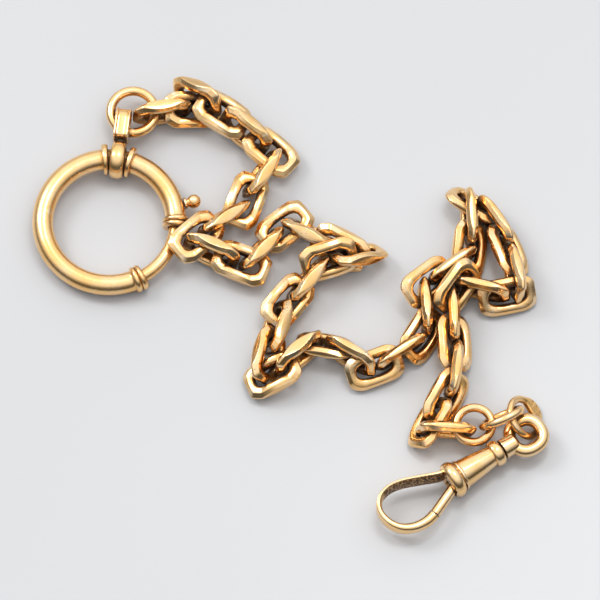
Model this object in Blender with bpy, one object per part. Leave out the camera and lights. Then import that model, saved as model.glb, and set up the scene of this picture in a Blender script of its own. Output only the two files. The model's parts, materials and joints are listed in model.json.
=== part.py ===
"""A gold single Albert pocket watch chain: bolt ring, 47 heavy faceted trace links and a dog clip.

Everything is worked out in millimetres, in the lay the chain has on a table, and written in metres.
"""
import math

import bmesh
import bpy
import numpy as np
from mathutils import Matrix, Vector

MM = 0.001

# ---- faceted trace link ------------------------------------------------------------------------
LINK_LENGTH = 9.4           # outer length
LINK_WIDTH = 5.9            # outer width
LINK_THICK = 1.65           # across the two filed faces
CORNER_ALONG = 1.6          # corner cut, measured along the length
CORNER_ACROSS = 1.0        # corner cut, measured across the width
HOLE_LENGTH = 6.3
HOLE_WIDTH = 2.85
OVAL_POWER = 3.0            # squareness of the hole and of the wire's path
LENS_MID, LENS_END = 0.66, 0.36   # share of the thickness left to the side facet, mid and corner
FACE_INSET = 0.36           # how far in from the rim the flat face begins
HOLE_EDGE = 0.40            # share of the thickness left straight inside the hole

# ---- round rings and ovals ---------------------------------------------------------------------
JUMP_RADIUS, JUMP_WIRE = 3.7, 0.80
FIRST_RING_RADIUS, FIRST_RING_WIRE = 2.95, 0.72
OVAL_LENGTH, OVAL_WIDTH, OVAL_WIRE = 8.2, 6.6, 0.66
MARKED_RADIUS, MARKED_WIRE = 3.25, 0.60
PLAQUE_WIDE, PLAQUE_ARC, PLAQUE_AT = 1.05, 38.0, 135.0   # half width, half of its arc, middle

# ---- bolt ring ---------------------------------------------------------------------------------
RING_RADIUS = 11.0
TUBE = 1.73
BORE = 1.32
BOLT = 1.10
COLLAR, COLLAR_GROOVE = 2.15, 1.92
FLANGE = 2.60
RING_CENTRE = (-31.5, 12.8)
OPEN_FROM, OPEN_TO = -3.0, 297.0         # the tube's two ends, degrees round the ring
BORE_END = 77.0
SOCKET_DEPTH = 6.0                       # degrees the bolt's tip has to enter, with room to spare
BOLT_TIP, BOLT_REAR = -67.0, 23.0
KNOB_AT = 14.5
KNOB_TRAVEL = 45.0
KNOB_STEM, KNOB_FOOT, KNOB_BALL, KNOB_OUT = 0.45, 0.85, 1.03, 3.9
SLOT_MARGIN = 4.0
BEAD_AT = 83.0
BEAD_RADIUS, BEAD_EDGE, BEAD_HALF, BEAD_BORE = 3.15, 2.75, 1.15, 1.98
BEAD_GAP = 0.48
FLANGE_WIDE = 0.95
SPRING_WIRE, SPRING_RADIUS, SPRING_TURNS = 0.14, 0.92, 7

# ---- bail --------------------------------------------------------------------------------------
BAIL_REACH, BAIL_HIGH, BAIL_WIDE = 5.6, 4.2, 2.6
BAIL_STRAP = 0.75
BAIL_STUB, BAIL_STUB_DEEP, BAIL_SOCKET = 0.45, 0.75, 0.70

# ---- dog clip ----------------------------------------------------------------------------------
CLIP_COLLAR = (25.1, -33.0, 3.15)        # centre of the large collar
CLIP_HEADING = 33.0
SMALL_COLLAR_AT = 8.5                    # along the barrel, from the large collar
EYE_AT = 14.3
EYE_HALF_LONG, EYE_HALF_WIDE, EYE_WIRE = 2.65, 2.65, 1.05
CAP_RADIUS, CAP_FROM, CAP_TO = 1.72, 9.65, 12.0
GATE_PIVOT = (-0.1, -0.9)                # in the clip's own axes: along the barrel, to its left
GATE_LENGTH, GATE_HEADING = 5.95, 203.5
GATE_RADIUS = 0.92
GATE_OPEN = 22.0

BARREL = (                               # station along the barrel, radius
    (-1.15, 2.25), (-0.95, 2.75), (-0.5, 3.06), (0.0, 3.13), (0.5, 3.06), (0.95, 2.75),
    (1.15, 2.5), (1.2, 2.64), (1.6, 2.64), (1.65, 2.45), (7.55, 1.72), (7.6, 1.95),
    (7.95, 2.14), (8.45, 2.2), (8.95, 2.14), (9.3, 1.92), (9.35, 1.5))
HOOK = (                                 # along, left, half thickness, half height
    (-0.3, 1.45, 0.55, 1.7), (-1.9, 1.75, 0.55, 1.9), (-4.5, 2.8, 0.52, 1.9),
    (-7.7, 4.0, 0.5, 1.85), (-10.1, 4.25, 0.52, 1.75), (-12.1, 3.5, 0.55, 1.6),
    (-13.2, 1.8, 0.6, 1.5), (-13.1, -0.5, 0.7, 1.4), (-11.9, -2.5, 0.8, 1.25),
    (-9.9, -3.6, 0.88, 1.1), (-7.7, -3.8, 0.92, 1.0), (-5.95, -3.42, 0.93, 0.93))
PIN_BORE, PIN_RADIUS, PIN_DEEP = 0.75, 0.5, 1.9
SLOT_LOW, SLOT_HIGH, SLOT_DEEP, SLOT_HALF = -2.55, 0.45, 1.25, 1.2

THREADING = 0.05            # share of the settling steps spent drawing links through each other
TABLE_GAP = 0.02
CLEARANCE = 0.14            # air kept between neighbouring pieces where the lay is worked out

# One row per link in order from the bolt ring: x, y, z of its middle, heading and roll in degrees.
LINK_LAY = (
    (-23.0, 32.5, 3.2, 10, 75), (-18.6, 32.3, 1.9, -5, 22), (-16.9, 34.4, 3.7, -40, 60),
    (-12.8, 32.3, 3.9, -40, 5), (-9.0, 29.0, 3.6, -45, 55), (-4.5, 25.5, 2.1, -40, 0),
    (-6.5, 21.5, 2.8, -120, 65), (-9.0, 16.5, 1.4, -110, 0), (-12.5, 13.5, 3.6, -145, 65),
    (-17.0, 9.0, 4.4, -140, 0), (-15.0, 7.0, 3.2, -30, 65), (-10.0, 6.0, 1.3, -25, 0),
    (-6.5, 8.0, 2.8, 40, -65), (-2.5, 12.0, 1.3, 40, 0), (1.5, 10.5, 2.8, -20, -65),
    (5.9, 8.4, 2.1, -26, 18), (8.9, 6.2, 3.2, -163, 42), (4.95, 5.4, 3.8, -165, -25),
    (1.5, 1.5, 2.8, -135, 60), (-2.0, -1.0, 1.5, -130, -10), (-3.5, -6.0, 2.8, -110, 60),
    (-4.5, -10.0, 2.6, -105, -35), (-4.5, -14.0, 1.8, 35, -15), (-0.5, -11.0, 3.4, 40, 85),
    (4.0, -9.5, 2.2, -15, -45), (9.0, -10.5, 3.0, -20, 80), (12.5, -12.5, 2.2, 30, 40),
    (17.0, -10.0, 3.0, 35, 90), (19.0, -6.5, 2.2, 65, 45), (22.0, -2.5, 3.2, 75, 90),
    (22.0, 1.5, 2.4, 60, 45), (25.5, 4.0, 3.4, 50, 90), (27.0, 8.0, 2.4, 70, 45),
    (28.4, 11.5, 4.2, 85, 90), (28.5, 14.6, 3.0, -50, -45), (32.5, 12.2, 3.0, -52, 70),
    (32.7, 7.4, 2.2, -65, -45), (35.1, 4.1, 3.2, -78, 80), (33.0, 1.0, 2.2, -170, -35),
    (29.5, -0.7, 3.4, -165, 90), (26.0, -1.0, 3.8, -115, -40), (26.0, -5.5, 3.6, -110, 90),
    (24.5, -9.0, 2.4, -95, -40), (25.5, -13.5, 3.0, -90, 90), (23.5, -17.0, 2.6, -105, -40),
    (22.0, -21.0, 2.4, -110, 45), (23.5, -24.0, 3.2, -5, -75),
)
# x, y, z, heading, roll of the four round pieces between the ends and the links
JUMP_LAY = (-27.6, 31.5, 2.6, 0, 10)
FIRST_RING_LAY = (28.0, -23.0, 1.3, 0, 5)
OVAL_LAY = (32.8, -22.4, 3.0, 20, -50)
MARKED_LAY = (37.2, -21.7, 2.7, -90, -40)


# ---- placing -----------------------------------------------------------------------------------
def turn(axis, angle):
    """Rotation matrix about an axis, angle in radians."""
    return np.array(Matrix.Rotation(angle, 3, Vector(axis)))


def attitude(heading, roll, pitch=0.0):
    return (turn((0, 0, 1), math.radians(heading)) @ turn((0, 1, 0), -math.radians(pitch))
            @ turn((1, 0, 0), math.radians(roll)))


def oval(half_long, half_wide, count, power=2.0, start=0.0):
    """Points round a closed oval in the x-y plane."""
    a = np.linspace(0.0, 2 * np.pi, count, endpoint=False) + start
    c, s = np.cos(a), np.sin(a)
    e = 2.0 / power
    return np.stack([half_long * np.sign(c) * np.abs(c) ** e,
                     half_wide * np.sign(s) * np.abs(s) ** e, 0 * a], -1)


def body(points, radius, lay=None):
    """A piece as the lay sees it: points along its wire, each with the wire's radius."""
    points = np.asarray(points, float)
    radius = np.broadcast_to(np.asarray(radius, float), len(points)).copy()
    x, y, z, heading, roll = lay if lay else (0, 0, 0, 0, 0)
    return {"points": points, "radius": radius, "at": np.array([x, y, z], float),
            "turn": attitude(heading, roll), "fixed": lay is None}


LINK_HALF = (LINK_LENGTH + HOLE_LENGTH) / 4      # half length of the wire's path
LINK_HALF_WIDE = (LINK_WIDTH + HOLE_WIDTH) / 4


def link_body(lay):
    """The bar's middle line, and a small ball inside each corner of the outline."""
    fine = oval(LINK_HALF, LINK_HALF_WIDE + 0.05, 720, OVAL_POWER)
    run = np.cumsum(np.linalg.norm(np.diff(fine, axis=0, prepend=fine[-1:]), axis=1))
    path = fine[np.searchsorted(run, np.linspace(0, run[-1], 30, endpoint=False))]
    corner = np.abs(path[:, 0] / LINK_HALF) * np.abs(path[:, 1] / LINK_HALF_WIDE)
    tips = [(sx * x, sy * y, 0.0) for sx in (-1, 1) for sy in (-1, 1)
            for x, y in ((LINK_LENGTH / 2 - 0.5, LINK_WIDTH / 2 - CORNER_ACROSS - 0.22),
                         (LINK_LENGTH / 2 - CORNER_ALONG - 0.1, LINK_WIDTH / 2 - 0.55))]
    radius = np.concatenate([LINK_THICK / 2 + 0.06 + 0.2 * corner, np.full(8, 0.56)])
    return body(np.vstack([path, tips]), radius, lay)


def settle(bodies, chain, steps=820):
    """Ease the pieces apart until none touches another or the table, from the rough lay given.

    The wires start thin and grow, so pieces threaded through one another stay threaded."""
    count = len(bodies)
    points = [b["points"] for b in bodies]
    at = np.array([b["at"] for b in bodies])
    frame = np.array([b["turn"] for b in bodies])
    at0, frame0 = at.copy(), frame.copy()
    reach = np.array([(np.linalg.norm(b["points"], axis=1) + b["radius"]).max() for b in bodies])
    spread = np.array([(b["points"] ** 2).sum(1).mean() for b in bodies])
    free = np.array([0.0 if b["fixed"] else 1.0 for b in bodies])
    for step in range(steps):
        done = step / steps
        grown = min(1.0, 0.12 + 0.88 * (done - THREADING) / 0.5)
        world = [at[i] + points[i] @ frame[i].T for i in range(count)]
        radii = [b["radius"] * grown for b in bodies]
        push = np.zeros((count, 3))
        twist = np.zeros((count, 3))
        for i in range(count if done > THREADING else 0):
            for j in range(i + 1, count):
                shared = free[i] + free[j]
                if not shared or np.linalg.norm(at[i] - at[j]) > reach[i] + reach[j] + CLEARANCE:
                    continue
                away = world[i][:, None] - world[j][None]
                apart = np.sqrt((away ** 2).sum(-1))
                short = radii[i][:, None] + radii[j][None] + CLEARANCE * grown - apart
                a, b = np.nonzero(short > 0)
                if not len(a):
                    continue
                amount = short[a, b]
                weight = amount / amount.max()
                move = away[a, b] / np.maximum(apart[a, b], 1e-6)[:, None]
                move *= (amount * weight / weight.sum())[:, None]
                for n, p, sign in ((i, a, 1.0), (j, b, -1.0)):
                    part = sign * free[n] / shared
                    push[n] += part * move.sum(0)
                    twist[n] += part * np.cross(world[n][p] - at[n], move).sum(0)
        if done < THREADING:
            thread(at, frame, chain, free, push, twist, 0.25)
        hold = 0.05 * (1 - 0.9 * min(1.0, done / 0.9))
        for n in range(count):
            if not free[n]:
                continue
            low = radii[n] + TABLE_GAP - world[n][:, 2]
            under = low > 0
            if under.any():
                lift = np.zeros((under.sum(), 3))
                lift[:, 2] = low[under] / math.sqrt(under.sum())
                push[n] += lift.sum(0)
                twist[n] += np.cross(world[n][under] - at[n], lift).sum(0)
            back = frame0[n] @ frame[n].T
            wind = np.array([back[2, 1] - back[1, 2], back[0, 2] - back[2, 0],
                             back[1, 0] - back[0, 1]]) / 2
            push[n] += hold * (at0[n] - at[n])
            twist[n] += hold * wind * spread[n]
            size = np.linalg.norm(push[n])
            at[n] += 0.8 * push[n] * min(1.0, 0.25 / max(size, 1e-9))
            spin = 0.8 * twist[n] / spread[n]
            angle = np.linalg.norm(spin)
            if angle > 1e-9:
                frame[n] = turn(spin / angle, min(angle, 0.08)) @ frame[n]
    return at, frame


def thread(at, frame, chain, free, push, twist, strength):
    """Draw the end bar of each link in a pair towards the other's long axis."""
    for i, j in chain:
        for p, q, way in ((i, j, 1), (j, i, -1)):
            end = at[q] - way * frame[q][:, 0] * LINK_HALF
            local = frame[p].T @ (end - at[p])
            target = at[p] + frame[p] @ np.array([way * np.clip(way * local[0], -0.6, 2.6),
                                                  np.clip(local[1], -0.3, 0.3),
                                                  np.clip(local[2], -0.4, 0.4)])
            move = (target - end) * strength / 2
            if np.linalg.norm(target - end) > 3.0:       # links folded side by side
                continue
            for n, where, sign in ((q, end, free[q]), (p, target, -free[p])):
                push[n] += sign * move
                twist[n] += sign * np.cross(where - at[n], move)


# ---- shapes: each returns (vertices, faces) in millimetres -------------------------------------
def loft(rings, closed=False, cap=True):
    """Skin a run of rings of points; the two ends are capped unless the run closes on itself."""
    rings = [np.asarray(r, float) for r in rings]
    n, k = len(rings), len(rings[0])
    faces = []
    for i in range(n if closed else n - 1):
        a, b = i * k, (i + 1) % n * k
        faces += [(a + j, a + (j + 1) % k, b + (j + 1) % k, b + j) for j in range(k)]
    if cap and not closed:
        faces += [tuple(range(k))[::-1], tuple(range((n - 1) * k, n * k))]
    return np.concatenate(rings), faces


def sweep(path, sections, closed=False, up=(0, 0, 1)):
    """Carry flat sections (out, up) along a path, out being to the right of the way it runs."""
    path = np.asarray(path, float)
    up = np.asarray(up, float)
    if closed:
        ahead = np.roll(path, -1, 0) - np.roll(path, 1, 0)
    else:
        ahead = np.gradient(path, axis=0)
    rings = []
    for point, way, section in zip(path, ahead, sections):
        out = np.cross(way, up)
        out /= np.linalg.norm(out)
        rise = np.cross(out, way)
        rise /= np.linalg.norm(rise)
        section = np.asarray(section, float)
        rings.append(point + section[:, :1] * out + section[:, 1:] * rise)
    return loft(rings, closed)


def circle(radius, sides, tall=None):
    a = np.linspace(0, 2 * np.pi, sides, endpoint=False)
    return np.stack([radius * np.cos(a), (tall or radius) * np.sin(a)], -1)


def lathe(profile, sides):
    """Turn (along x, radius) stations about the x axis."""
    a = np.linspace(0, 2 * np.pi, sides, endpoint=False)
    return loft([np.stack([np.full(sides, x), r * np.cos(a), r * np.sin(a)], -1)
                 for x, r in profile])


def ring_wire(half_long, half_wide, wire, stations=20, sides=8):
    path = oval(half_long, half_wide, stations)
    return sweep(path, [circle(wire, sides)] * stations, closed=True)


def link_shape():
    """Octagonal trace link with an oval hole; its near end bar is centred on the origin."""
    half, wide = LINK_LENGTH / 2, LINK_WIDTH / 2
    sx, sy = half - CORNER_ALONG, wide - CORNER_ACROSS
    quarter = [(half, 0.0, 0.6), (half, sy, 0.2), (sx, wide, 0.2)]
    rim = quarter + [(0.0, wide, 1.0)] + [(-x, y, w) for x, y, w in quarter[::-1]]
    rim += [(x, -y, w) for x, y, w in rim[-2:0:-1]]
    rings = []
    for x, y, lens in rim:
        a = math.atan2(y / wide, x / half)
        c, s = math.cos(a), math.sin(a)
        e = 2 / OVAL_POWER
        hole = np.array([HOLE_LENGTH / 2 * math.copysign(abs(c) ** e, c),
                         HOLE_WIDTH / 2 * math.copysign(abs(s) ** e, s)])
        edge = np.array([x, y])
        face = edge + (hole - edge) * FACE_INSET
        side = LINK_THICK / 2 * (LENS_END + (LENS_MID - LENS_END) * lens)
        inner = LINK_THICK / 2 * HOLE_EDGE
        shelf = LINK_THICK / 2
        rings.append([(*edge, -side), (*edge, side), (*face, shelf), (*hole, inner),
                      (*hole, -inner), (*face, -shelf)])
    points, faces = loft(rings, closed=True)
    return points + [LINK_HALF, 0, 0], faces


def arc_point(angle, radius=RING_RADIUS, up=0.0):
    a = math.radians(angle)
    return np.array([radius * math.cos(a), radius * math.sin(a), up])


def arc_ring(angle, radius, sides, centre=RING_RADIUS):
    """A circle of points round the bolt ring's tube at an angle; point 0 faces outwards."""
    b = np.linspace(0, 2 * np.pi, sides, endpoint=False)
    return np.array([arc_point(angle, centre + radius * math.cos(t), radius * math.sin(t))
                     for t in b])


SLOT_FROM, SLOT_TO = KNOB_AT - SLOT_MARGIN, KNOB_AT + KNOB_TRAVEL + SLOT_MARGIN
DEGREE = math.degrees(1 / RING_RADIUS)           # degrees of ring per millimetre


def collar_stations(start, wide=6.8):
    """Two reeds with a groove between, as (angle, radius)."""
    share = ((0.0, COLLAR - 0.15), (0.14, COLLAR), (0.38, COLLAR), (0.5, COLLAR_GROOVE),
             (0.62, COLLAR), (0.86, COLLAR), (1.0, COLLAR - 0.15))
    return [(start + wide * t, r) for t, r in share]


def flange_stations(start):
    wide = FLANGE_WIDE * DEGREE
    share = ((0.0, TUBE), (0.02, FLANGE - 0.3), (0.25, FLANGE), (0.75, FLANGE),
             (0.98, FLANGE - 0.3), (1.0, TUBE))
    return [(start + wide * t, r) for t, r in share]


def ring_body_shape(sides=16):
    """The tube with its collars and flanges, bored from its open end, with the knob's slot."""
    bead = (BEAD_HALF + BEAD_GAP) * DEGREE
    stations = collar_stations(OPEN_FROM)
    stations += [(OPEN_FROM + 6.9, TUBE)]
    steps = 8
    stations += [(SLOT_FROM + (SLOT_TO - SLOT_FROM) * i / steps, TUBE) for i in range(steps + 1)]
    slot = (len(stations) - steps - 1, len(stations) - 1)
    stations += flange_stations(BEAD_AT - bead - FLANGE_WIDE * DEGREE)
    stations += flange_stations(BEAD_AT + bead)
    last = OPEN_TO - 6.9
    begin = stations[-1][0]
    spans = 24
    stations += [(begin + (last - begin) * i / spans, TUBE) for i in range(1, spans + 1)]
    stations += collar_stations(OPEN_TO - 6.8)
    outer = [arc_ring(a, r, sides) for a, r in stations]
    bore = [i for i, (a, _) in enumerate(stations) if a <= SLOT_TO + 0.01]
    inner = [arc_ring(stations[i][0], BORE, sides) for i in bore]
    inner += [arc_ring(BORE_END, BORE, sides)]
    socket = [arc_ring(OPEN_TO - SOCKET_DEPTH * t, BORE, sides) for t in (0.0, 1.0)]
    points = np.concatenate(outer + inner + socket)
    base_in = len(outer) * sides
    base_socket = base_in + len(inner) * sides
    faces = []

    def band(first, second, skip=()):
        for j in range(sides):
            if j not in skip:
                k = (j + 1) % sides
                faces.append((first + j, first + k, second + k, second + j))

    gap = (sides - 1, 0)                          # the two facets either side of the outward line
    for i in range(len(outer) - 1):
        band(i * sides, (i + 1) * sides, gap if slot[0] <= i < slot[1] else ())
    for i in range(len(inner) - 1):
        band(base_in + (i + 1) * sides, base_in + i * sides, gap if slot[0] <= i < slot[1] else ())
    for i in range(slot[0], slot[1]):
        for j in (sides - 1, 1):
            faces.append((i * sides + j, (i + 1) * sides + j,
                          base_in + (i + 1) * sides + j, base_in + i * sides + j))
    for i in slot:
        for j in (sides - 1, 0):
            k = (j + 1) % sides
            faces.append((i * sides + j, i * sides + k, base_in + i * sides + k,
                          base_in + i * sides + j))
    band(base_in, 0)
    faces.append(tuple(base_in + (len(inner) - 1) * sides + j for j in range(sides)))
    band((len(outer) - 1) * sides, base_socket)
    band(base_socket, base_socket + sides)
    faces.append(tuple(base_socket + sides + j for j in range(sides)))
    return points, faces


def bolt_shape(sides=12):
    count = 19
    angles = np.linspace(BOLT_TIP, BOLT_REAR, count)
    rings = [arc_ring(BOLT_TIP - 0.01, BOLT * 0.6, sides)]
    rings += [arc_ring(a, BOLT * (0.92 if i == 0 else 1.0), sides)
              for i, a in enumerate(angles)]
    return loft(rings)


def knob_shape():
    """Stem, foot and ball, turned about x; x runs outwards from the tube's middle."""
    ball = [(KNOB_OUT - KNOB_BALL * math.cos(t), KNOB_BALL * math.sin(t))
            for t in np.radians((38, 65, 90, 118, 145, 168))]
    foot = TUBE + 0.22
    return lathe([(0.3, KNOB_STEM), (foot, KNOB_STEM), (foot + 0.02, KNOB_FOOT),
                  (foot + 0.55, KNOB_FOOT * 0.92), (foot + 0.75, 0.6)] + ball, 12)


def spring_shape():
    per_turn, sides = 8, 4
    count = SPRING_TURNS * per_turn + 1
    path = []
    for i in range(count):
        t = i / (count - 1)
        angle = BOLT_REAR + 1.2 + (BORE_END - BOLT_REAR - 2.4) * t
        b = 2 * math.pi * SPRING_TURNS * t
        path.append(arc_point(angle, RING_RADIUS + SPRING_RADIUS * math.cos(b),
                              SPRING_RADIUS * math.sin(b)))
    path = np.array(path)
    ahead = np.gradient(path, axis=0)
    rings = []
    for i, (p, way) in enumerate(zip(path, ahead)):
        t = i / (count - 1)
        centre = arc_point(BOLT_REAR + 1.2 + (BORE_END - BOLT_REAR - 2.4) * t)
        out = p - centre
        out -= way * out.dot(way) / way.dot(way)
        out /= np.linalg.norm(out)
        side = np.cross(way, out)
        side /= np.linalg.norm(side)
        c = circle(SPRING_WIRE, sides)
        rings.append(p + c[:, :1] * out + c[:, 1:] * side)
    return loft(rings)


def bead_shape():
    """Barrel bead turned about x, with the hole the tube runs through."""
    outside = [(BEAD_HALF * t, BEAD_EDGE + (BEAD_RADIUS - BEAD_EDGE) * (1 - abs(t) ** 2.2))
               for t in (-1.0, -0.75, -0.4, 0.0, 0.4, 0.75, 1.0)]
    sides = 24
    a = np.linspace(0, 2 * np.pi, sides, endpoint=False)
    rings = [np.stack([np.full(sides, x), r * np.cos(a), r * np.sin(a)], -1)
             for x, r in outside + [(BEAD_HALF, BEAD_BORE), (-BEAD_HALF, BEAD_BORE)]]
    return loft(rings, closed=True)


def bail_shape():
    """Reeded strap bent into a closed stirrup in the x-z plane; x runs away from the bead."""
    high = BAIL_HIGH / 2 - BAIL_STRAP / 2
    near, far = BAIL_STRAP / 2, BAIL_REACH - BAIL_STRAP / 2 - high
    arc = [(far + high * math.cos(t), high * math.sin(t))
           for t in np.linspace(-math.pi / 2, math.pi / 2, 9)]
    path = [(near + 0.25, -high), ((near + far) / 2, -high)] + arc
    path += [((near + far) / 2, high), (near + 0.25, high), (near, high - 0.3),
             (near, 0.0), (near, -high + 0.3)]
    w, t = BAIL_WIDE / 2, BAIL_STRAP / 2
    section = [(-w, -t), (w, -t), (w, 0.1), (0.55 * w, t), (0.0, 0.05), (-0.55 * w, t), (-w, 0.1)]
    rings = []
    n = len(path)
    for i in range(n):
        a, b = np.array(path[i - 1]), np.array(path[(i + 1) % n])
        way = (b - a) / np.linalg.norm(b - a)
        out = np.array([way[1], -way[0]])
        rings.append([(path[i][0] + v * out[0], u, path[i][1] + v * out[1]) for u, v in section])
    return loft(rings, closed=True)


def marked_ring_shape():
    stations, sides = 24, 8
    path = oval(MARKED_RADIUS, MARKED_RADIUS, stations, 2.0)
    sections = []
    for i in range(stations):
        off = abs((i * 360 / stations - PLAQUE_AT + 180) % 360 - 180)
        t = max(0.0, 1 - (off / PLAQUE_ARC) ** 2)
        sections.append(circle(MARKED_WIRE + (PLAQUE_WIDE - MARKED_WIRE) * t, sides,
                               MARKED_WIRE - 0.1 * t))
    return sweep(path, sections, closed=True)


def eye_shape():
    path = oval(EYE_HALF_LONG, EYE_HALF_WIDE, 20, 2.3) + [EYE_AT, 0, 0]
    return sweep(path, [circle(EYE_WIRE, 10)] * 20, closed=True)


def hook_path():
    """The hook's middle line, smoothed through its stations, with its half sizes."""
    knots = np.array(HOOK)
    rows = []
    for i in range(len(knots) - 1):
        p0, p1 = knots[max(i - 1, 0)], knots[i]
        p2, p3 = knots[i + 1], knots[min(i + 2, len(knots) - 1)]
        for t in (0.0, 0.5):
            rows.append(0.5 * (2 * p1 + (p2 - p0) * t + (2 * p0 - 5 * p1 + 4 * p2 - p3) * t ** 2
                               + (3 * p1 - p0 - 3 * p2 + p3) * t ** 3))
    rows.append(knots[-1])
    return np.array(rows)


def hook_shape():
    rows = hook_path()
    path = np.column_stack([rows[:, :2], np.zeros(len(rows))])
    sections = []
    for _, _, thick, high in rows:
        flat = min(1.0, max(0.0, (high / thick - 1.1)))     # the tall part is flat inside
        b = np.linspace(0, 2 * np.pi, 10, endpoint=False) + np.pi / 10
        out = np.cos(b)
        out = np.where(out < 0, out * (1 - 0.25 * flat), out)
        rise = np.sign(np.sin(b)) * np.abs(np.sin(b)) ** (1 - 0.35 * flat)
        sections.append(np.stack([-thick * out, high * rise], -1)[::-1])
    return sweep(path, sections)


def box(low, high):
    xs, ys, zs = zip(low, high)
    points = np.array([(x, y, z) for x in xs for y in ys for z in zs], float)
    faces = [(0, 1, 3, 2), (4, 6, 7, 5), (0, 4, 5, 1), (2, 3, 7, 6), (0, 2, 6, 4), (1, 5, 7, 3)]
    return points, faces


# ---- Blender objects ---------------------------------------------------------------------------
def mesh_of(name, shape, moved=None, smooth=True):
    points, faces = shape
    points = np.asarray(points, float)
    if moved is not None:
        spin, shift = moved
        points = points @ spin.T + shift
    mesh = bpy.data.meshes.new(name)
    mesh.from_pydata((points * MM).tolist(), [], faces)
    work = bmesh.new()
    work.from_mesh(mesh)
    bmesh.ops.recalc_face_normals(work, faces=work.faces)
    work.to_mesh(mesh)
    work.free()
    for polygon in mesh.polygons:
        polygon.use_smooth = smooth
    return mesh


def combine(name, mesh, others):
    """Fuse or cut with exact booleans and bake the result into one mesh."""
    base = bpy.data.objects.new(name, mesh)
    bpy.context.scene.collection.objects.link(base)
    tools = []
    for operation, tool_mesh in others:
        tool = bpy.data.objects.new(name + "_tool", tool_mesh)
        bpy.context.scene.collection.objects.link(tool)
        step = base.modifiers.new(operation.lower(), "BOOLEAN")
        step.operation, step.object, step.solver = operation, tool, "EXACT"
        tools.append(tool)
    graph = bpy.context.evaluated_depsgraph_get()
    baked = bpy.data.meshes.new_from_object(base.evaluated_get(graph))
    baked.name = name
    for used in [base] + tools:
        bpy.data.objects.remove(used, do_unlink=True)
    return baked


def gold(name, colour, roughness):
    material = bpy.data.materials.new(name)
    material.use_nodes = True
    shader = material.node_tree.nodes["Principled BSDF"]
    shader.inputs["Base Color"].default_value = (*colour, 1.0)
    shader.inputs["Metallic"].default_value = 1.0
    shader.inputs["Roughness"].default_value = roughness
    return material


def add(name, mesh, at, spin, colour, roughness):
    """One named piece; its origin is on its joint's axis."""
    piece = bpy.data.objects.new(name, mesh)
    bpy.context.scene.collection.objects.link(piece)
    piece.matrix_world = Matrix.Translation(Vector(np.asarray(at) * MM)) @ Matrix(
        spin.tolist()).to_4x4()
    if not mesh.materials:
        mesh.materials.append(None)
    piece.material_slots[0].link = "OBJECT"
    piece.material_slots[0].material = gold(name + "_metal", colour, roughness)
    return piece


def add_hung(name, shape, at, spin, hinge_at, hinge_turn, colour, roughness):
    """A piece whose origin is moved to the point it hangs from."""
    moved = hinge_turn.T @ spin, hinge_turn.T @ (at - hinge_at)
    add(name, mesh_of(name, shape, moved), hinge_at, hinge_turn, colour, roughness)


def move_mesh(mesh, at, spin, new_at, new_turn):
    change = new_turn.T @ spin
    shift = new_turn.T @ (at - new_at) * MM
    for vertex in mesh.vertices:
        vertex.co = change @ np.array(vertex.co) + shift


def rim_hinge(at, spin, radius, hung):
    """Where a round ring hangs: y along its wire, at the wire nearest the piece it hangs from."""
    local = spin.T @ (hung - at)
    inwards = -(spin[:, 0] * local[0] + spin[:, 1] * local[1]) / np.hypot(local[0], local[1])
    return (at - inwards * radius,
            np.column_stack([inwards, np.cross(spin[:, 2], inwards), spin[:, 2]]))


def eye_hinge(loop, clip_turn, ring_at):
    """Where the swivel eye hangs in the marked ring: y along the eye's wire."""
    i = int(np.argmin(np.linalg.norm(loop - ring_at, axis=1)))
    y = loop[(i + 1) % len(loop)] - loop[i - 1]
    y /= np.linalg.norm(y)
    return loop[i], np.column_stack([np.cross(y, clip_turn[:, 2]), y, clip_turn[:, 2]])


# ---- the chain ---------------------------------------------------------------------------------
def ring_frame():
    """Middle and attitude of the bolt ring, which leans on its bead and its lower collar."""
    reach = RING_RADIUS * -math.cos(math.radians(OPEN_TO - 3.4 - BEAD_AT))
    slope = (BEAD_RADIUS - COLLAR) / (RING_RADIUS + reach)
    height = COLLAR + TABLE_GAP + slope * reach
    lean = arc_point(BEAD_AT, 1.0)
    return (np.array([*RING_CENTRE, height]),
            turn((lean[1], -lean[0], 0), math.atan(slope)))


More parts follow.
